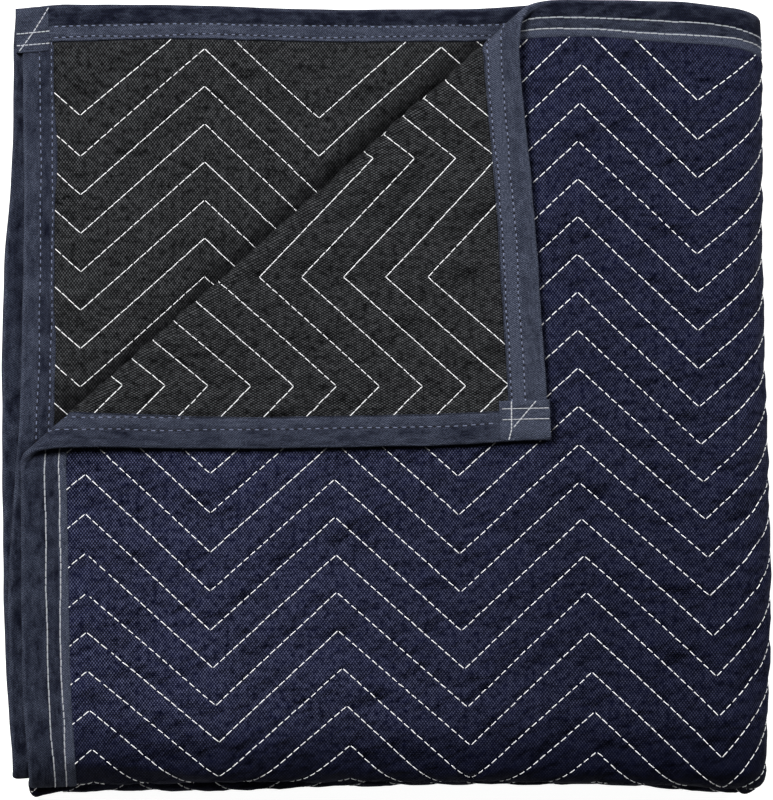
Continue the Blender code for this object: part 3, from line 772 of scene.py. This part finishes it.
navy_binding = binding_rows("navy_side_binding_stitches", 1, navy_shows, 4.4, 0.97, 0,
                            0.36, 0.4)
black_binding = binding_rows("black_side_binding_stitches", -1, black_shows, 4.4, 0.5, 0,
                             0.25, 0.3)
# Dark tubes between the black side's stitches: painted shade in the needle holes.
needle_hole_shade = binding_rows("black_side_needle_holes", -1, black_shows, 4.4, 0.46, 0.52,
                            0.2, 0.36)


# %% [markdown]
# The lapped ends of the tape are held down by rows sewn straight across and one slanting run.

# %% Thread on the laps
def lap_threads():
    runs = []
    for row in (14.2, 21.6):
        runs.append(("top", (-3.8, row + 1.6), (15.9, row + 1.5)))
        runs.append(("left", (-0.6, row + 0.6), (23.0, row + 1.0)))
    runs += [("top", (15.4, 1.4), (6.4, 15.4)), ("top", (6.4, 15.4), (-2.2, 26.8)),
             ("left", (18.0, 27.6), (18.6, 8.0)), ("left", (18.6, 8.0), (20.2, 1.0)),
             ("left", (5.6, 27.4), (17.6, 9.4))]
    starts, ends = [], []
    for edge, a, b in runs:
        a, b = (np.array(on_edge(edge, *end)) for end in (a, b))
        count = max(1, round(np.linalg.norm(b - a) / 2.6))
        at = np.arange(count) / count
        starts.append(a + np.outer(at, b - a))
        ends.append(a + np.outer(at + 0.98 / count, b - a))
    starts, ends = np.concatenate(starts), np.concatenate(ends)
    heights = np.full(len(starts), CREST + 0.42)
    piece = thread_mesh("corner_lap_stitches", starts, ends, heights, -1, 0.33)
    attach(piece, "root")
    print(piece.name, "has", len(starts), "stitches")
    return piece


lap_sewing = lap_threads()


# %% [markdown]
# ## Finishes
# Shader maths reads best as plain expressions, so one small class wraps a socket and turns
# Python's operators into Math nodes.

# %% Shader expressions
class Value:
    """A socket in a node tree, with arithmetic."""

    def __init__(self, maker, socket):
        self.maker, self.socket = maker, socket

    def _math(self, operation, *others):
        names = dict(enumerate(others))
        return self.maker.node("ShaderNodeMath", {"operation": operation}, names)

    def __add__(self, other):
        return self._math("ADD", self, other)

    def __sub__(self, other):
        return self._math("SUBTRACT", self, other)

    def __mul__(self, other):
        return self._math("MULTIPLY", self, other)

    def __rsub__(self, other):
        return self._math("SUBTRACT", other, self)

    __radd__, __rmul__ = __add__, __mul__

    def sine(self):
        return self._math("SINE", self)

    def size(self):
        return self._math("ABSOLUTE", self)

    def clamp(self):
        return self.maker.node("ShaderNodeMath", {"operation": "ADD", "use_clamp": True},
                               {0: self, 1: 0.0})


class Finish:
    """A material and the one method that adds nodes to it."""

    def __init__(self, name):
        self.material = bpy.data.materials.new(name)
        self.material.use_nodes = True
        self.tree = self.material.node_tree
        self.shader = self.tree.nodes["Principled BSDF"]

    def node(self, kind, settings=None, inputs=None, output=0):
        made = self.tree.nodes.new(kind)
        for key, value in (settings or {}).items():
            setattr(made, key, value)
        for key, value in (inputs or {}).items():
            self.join(value, made.inputs[key])
        return Value(self, made.outputs[output])

    def join(self, value, socket):
        if isinstance(value, Value):
            self.tree.links.new(value.socket, socket)
        else:
            socket.default_value = value

    def set(self, **inputs):
        for name, value in inputs.items():
            self.join(value, self.shader.inputs[name.replace("_", " ")])

    def mix(self, share, first, second):
        return self.node("ShaderNodeMix", {"data_type": "RGBA"}, {0: share, 6: first, 7: second}, 2)

    def noise(self, place, scale, detail=3.0, roughness=0.6):
        return self.node("ShaderNodeTexNoise", {}, {"Vector": place, "Scale": scale,
                                                    "Detail": detail, "Roughness": roughness})

    def bump(self, height, distance, strength=1.0, below=None):
        inputs = {"Height": height, "Distance": distance, "Strength": strength}
        if below:
            inputs["Normal"] = below
        return self.node("ShaderNodeBump", {}, inputs)


def color(red, green, blue):
    """A colour from screen values of 0 to 255."""
    parts = [c / 255 for c in (red, green, blue)]
    return tuple([((c + 0.055) / 1.055) ** 2.4 if c > 0.04 else c / 12.92 for c in parts] + [1.0])


print("middle grey in linear light:", color(188, 188, 188)[:3])


# %% [markdown]
# The two cloths are bonded fibre, pressed with a fine lattice of dots. Two sine waves along
# the diagonals of the flat cloth give that lattice, and noise gives the fibres and the slight
# clouding between them. Painted shade darkens both cloths along the lower fold, where the cloth
# turns away from the light. The face cloth also has painted shade towards the right fold, and
# creases there lie across the fold. The backing cloth has a painted shadow below the turned
# corner's edge.

# %% Cloth finish
def flat_place(made):
    """The flat place on the cloth, and its two parts in metres."""
    flat = made.node("ShaderNodeUVMap", {"uv_map": "flat"})
    apart = made.node("ShaderNodeSeparateXYZ", {}, {0: flat})
    return flat, apart, Value(made, apart.socket.node.outputs[1])


def slope(made, value, start, end, low=0.0, high=1.0):
    """A smooth step from low to high as the value goes from start to end."""
    return made.node("ShaderNodeMapRange", {"interpolation_type": "SMOOTHSTEP"},
                     {0: value, 1: start, 2: end, 3: low, 4: high})


def painted_corner_shadow(made, u, v):
    """One where a painted shadow lies on the layer below the turned corner, just outside the
    corner's fold.
    """
    past = (LENGTH / 1000 - u) * ACROSS[0] + v * ACROSS[1] - CREASE_START @ ACROSS / 1000
    edge = ROLL_OUTSIDE / 1000
    return slope(made, past, edge - 0.02, edge - 0.004) * (
        slope(made, past, edge, edge + 0.014, 1.0, 0.0))


def cloth_finish(name, deep, mid, light, pitch, right_shade_and_creases, corner):
    made = Finish(name)
    flat, u, v = flat_place(made)
    # Painted shade: darker along the lower fold, and on the face cloth darker towards the right
    # fold.
    lower = slope(made, v, 0.54, 0.72, 1.0, 0.6)
    painted_shade = slope(made, v, 0.488, 0.534, 0.26) * (
        1.0 - slope(made, u, 0.1, 0.43) * lower * right_shade_and_creases)
    # Painted shadow on the backing just below the turned corner's edge.
    painted_shade = painted_shade * (1.0 - painted_corner_shadow(made, u, v) * corner)
    across = made.node("ShaderNodeCombineXYZ", {}, {0: u * 0.3, 1: v})
    creases = made.noise(across, 62.0, 2.0, 0.5) * slope(made, u, 0.25, 0.41) * right_shade_and_creases
    turns = math.pi / pitch
    lattice = ((u * 1.25 + v * 0.95) * turns).sine().size() * (
        (u * 1.25 - v * 0.95) * turns).sine().size()
    fibres = made.noise(flat, 1100.0, 2.0, 0.6)
    folds = made.noise(flat, 30.0, 2.0, 0.5)
    drag = made.node("ShaderNodeCombineXYZ", {}, {0: u * 0.5 + v * 0.3, 1: v - u * 0.6})
    puckers = made.noise(drag, 95.0, 2.0, 0.5)
    wear = made.noise(flat, 210.0, 4.0)
    clouds = made.noise(flat, 26.0, 3.0)
    uneven = made.noise(flat, 300.0, 2.0)
    dots = lattice * (uneven * 2.2 - 0.35).clamp()
    ground = made.mix((clouds * 1.6 + wear * 1.2 - 1.0).clamp(), deep, mid)
    speckle = (dots * 1.45 + fibres * 0.7 - 0.6).clamp()
    made.set(Base_Color=made.mix(painted_shade, deep, made.mix(speckle, ground, light)),
             Roughness=0.95, Specular_IOR_Level=0.04)
    weave = made.bump(dots + fibres, 0.0003)
    made.set(Normal=made.bump(folds * 15.0 + puckers * 5.0 + creases * 13.0 + wear * 1.3,
                              0.001, 1.0, weave))
    return made.material


# The last two numbers set the painted shade towards the right fold, which also deepens the creases
# there, and the painted shadow below the turned corner.
navy_finish = cloth_finish("navy_cloth", color(1, 2, 14), color(7, 9, 31),
                           color(63, 66, 88), 0.0023, right_shade_and_creases=0.57, corner=0.0)
black_finish = cloth_finish("black_cloth", color(4, 4, 5), color(12, 13, 14),
                            color(63, 64, 66), 0.0023, right_shade_and_creases=0.0, corner=0.62)
print("cloth finishes:", navy_finish.name, "and", black_finish.name)


# %% [markdown]
# The tape is a soft twill, brushed so that its fibres catch the light. The shade of each band,
# with its painted highlight and painted shade, and streaks of rubbed nap choose between a dark
# and a light slate.

# %% Tape finish
def tape_finish():
    made = Finish("slate_tape")
    flat, u, v = flat_place(made)
    # The shade attribute holds each band's tone together with a painted highlight and painted
    # shade.
    band = made.node("ShaderNodeAttribute", {"attribute_name": "shade"}, {}, 2)
    along = made.node("ShaderNodeCombineXYZ", {}, {0: u * 0.45, 1: v})
    twill = ((u + v) * (math.pi / 0.0015)).sine().size()
    weft = ((u - v * 0.7) * (math.pi / 0.0013)).sine().size()
    fibres = made.noise(flat, 1000.0, 3.0, 0.8)
    streaks = made.noise(along, 260.0, 4.0, 0.6)
    patches = made.noise(flat, 60.0, 3.0)
    level = (band + (streaks - 0.5) * 1.5 + (patches - 0.5) * 1.2).clamp()
    ground = made.mix(level, color(3, 4, 13), color(33, 37, 50))
    fuzz = (fibres * 3.6 + twill * weft * 1.0 - 1.9).clamp()
    light = made.mix(level, color(26, 29, 42), color(78, 83, 97))
    made.set(Base_Color=made.mix(fuzz, ground, light), Roughness=0.95, Specular_IOR_Level=0.04)
    rough = made.bump(twill * weft * 0.6 + fibres * 1.6, 0.0004)
    made.set(Normal=made.bump(streaks * 2.0 + patches * 3.0, 0.001, 1.0, rough))
    return made.material


def thread_finish(name, shade):
    made = Finish(name)
    place = made.node("ShaderNodeNewGeometry", {})
    spun = made.noise(place, 2500.0, 2.0)
    low = tuple([c * 0.6 for c in shade[:3]] + [1.0])
    made.set(Base_Color=made.mix(spun, low, shade), Roughness=0.7, Specular_IOR_Level=0.2)
    made.set(Normal=made.bump(spun, 0.0001))
    return made.material


slate_finish = tape_finish()
white_thread = thread_finish("white_thread", color(232, 232, 234))
grey_thread = thread_finish("grey_thread", color(158, 161, 167))
blue_thread = thread_finish("blue_thread", color(112, 119, 142))
pale_thread = thread_finish("pale_thread", color(176, 178, 184))
# The needle holes get a painted shade, a near-black finish.
hole_shade_finish = thread_finish("needle_hole", color(3, 3, 10))
finishes = [(navy, navy_finish, "navy_cloth"), (black, black_finish, "black_cloth"),
            (navy_quilting, white_thread, "navy_cloth"),
            (black_quilting, white_thread, "black_cloth"),
            (navy_binding, grey_thread, "slate_binding"),
            (black_binding, blue_thread, "slate_binding"),
            (needle_hole_shade, hole_shade_finish, "slate_binding"),
            (lap_sewing, pale_thread, "slate_binding")]
finishes += [(tape, slate_finish, "slate_binding") for tape in tapes]
for piece, finish, slot in finishes:
    piece.data.materials.clear()
    piece.data.materials.append(finish)
print(len(finishes), "pieces have their finish")

# %% [markdown]
# ## Tape sizes
# The rows and widths of each tape are read from the table.

# %% Flat sizes of the tapes
for tape, edge in zip(tapes, EDGES):
    near, far, navy_width, black_width = TAPES[edge]
print("declared as sheets:", 2 + len(tapes))

# %% [markdown]
# ## Floor, light and camera
# The blanket is seen from straight above, on a plain white floor. One large soft lamp at the
# upper left shows the relief of the padding, and a weaker one at the right lights the fold.

# %% Floor
floor_data = bpy.data.meshes.new("floor")
floor_data.from_pydata([(-6, -6, 0), (6, -6, 0), (6, 6, 0), (-6, 6, 0)], [], [(0, 1, 2, 3)])
floor = bpy.data.objects.new("floor", floor_data)
floor.location.z = -0.0005
bpy.context.scene.collection.objects.link(floor)
floor_finish = Finish("floor")
floor_finish.set(Base_Color=(0.3, 0.3, 0.3, 1.0), Roughness=1.0, Specular_IOR_Level=0.0,
                 Emission_Color=(1.0, 1.0, 1.0, 1.0), Emission_Strength=0.96)
floor_data.materials.append(floor_finish.material)
print("the floor lies at", round(floor.location.z * 1000, 2), "mm")


# %% Light
def soft_light(name, place, target, size, power):
    light = bpy.data.lights.new(name, "AREA")
    light.shape, light.size, light.energy = "DISK", size, power
    holder = bpy.data.objects.new(name, light)
    holder.location = place
    aim = Vector(target) - Vector(place)
    holder.rotation_euler = aim.to_track_quat("-Z", "Y").to_euler()
    bpy.context.scene.collection.objects.link(holder)


soft_light("key", (-1.25, 1.25, 2.3), (0, 0, 0), 1.1, 165)
soft_light("fill", (1.95, 0.85, 1.25), (0, 0, 0), 1.0, 60)
world = bpy.data.worlds.new("studio")
bpy.context.scene.world = world
world.use_nodes = True
world.node_tree.nodes["Background"].inputs[0].default_value = (1.0, 1.0, 1.0, 1.0)
world.node_tree.nodes["Background"].inputs[1].default_value = 0.07
bpy.context.scene.view_settings.view_transform = "Standard"

# %% Camera
camera_data = bpy.data.cameras.new("camera")
camera_data.sensor_fit = "HORIZONTAL"
camera_data.lens = 36 * 11.955 / 0.4638
camera = bpy.data.objects.new("camera", camera_data)
camera.location = (0.00033, -0.00089, 12.0)
bpy.context.scene.collection.objects.link(camera)
bpy.context.scene.camera = camera
print("the camera is at", camera.location.z, "m, its lens", round(camera_data.lens), "mm")
